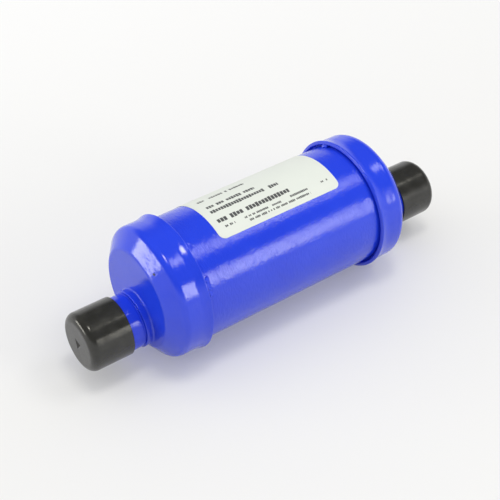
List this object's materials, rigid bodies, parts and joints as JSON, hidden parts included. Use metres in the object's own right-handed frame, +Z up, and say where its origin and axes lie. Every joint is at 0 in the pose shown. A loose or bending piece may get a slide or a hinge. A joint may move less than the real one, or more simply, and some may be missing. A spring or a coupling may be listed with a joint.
{
  "type": "discharge muffler",
  "caption": "In-line refrigerant discharge muffler: painted steel shell with drawn heads, off-centre solder sockets and pull-off dust caps.",
  "frame": {"origin": "middle of the whole length, dust caps included, on the axis of the shell tube", "axes": "+X along the shell from the inlet to the outlet, +Z up, with the two off-centre connections below the shell's axis as the part comes to rest"},
  "size_m": [0.2556, 0.084, 0.084],
  "materials": {
    "blue_paint": "glossy blue powder coat on steel, fine orange peel",
    "stub_paint": "glossy blue coat outside, bare turned steel in the socket",
    "braze": "braze and weld metal under the same blue coat",
    "black_vinyl": "dip-moulded black vinyl, semi-gloss",
    "label_paper": "pale silver-grey coated label, satin",
    "bare_steel": "bare mild steel sheet"
  },
  "bodies": {
    "muffler": {"shell_tube": "blue_paint", "inlet_head": "blue_paint", "outlet_head": "blue_paint", "inlet_stub": "stub_paint", "outlet_stub": "stub_paint", "inlet_neck_braze": "braze", "outlet_neck_braze": "braze", "inlet_head_braze": "braze", "outlet_head_braze": "braze", "inlet_tack_welds": "braze", "outlet_tack_welds": "braze", "label": "label_paper", "inlet_diffuser": "bare_steel", "outlet_diffuser": "bare_steel", "inlet_baffle": "bare_steel", "middle_baffle": "bare_steel", "outlet_baffle": "bare_steel", "inlet_transfer_tube": "bare_steel", "middle_transfer_tube": "bare_steel", "outlet_transfer_tube": "bare_steel"},
    "inlet_cap": {"inlet_dust_cap": "black_vinyl"},
    "outlet_cap": {"outlet_dust_cap": "black_vinyl"}
  },
  "joints": [
    {"name": "inlet_cap_pull", "type": "slide", "parent": "muffler", "child": "inlet_cap", "axis": [-1, 0, 0], "range_m": [0, 0.08]},
    {"name": "outlet_cap_pull", "type": "slide", "parent": "muffler", "child": "outlet_cap", "axis": [1, 0, 0], "range_m": [-0.0027, 0.08]}
  ]
}
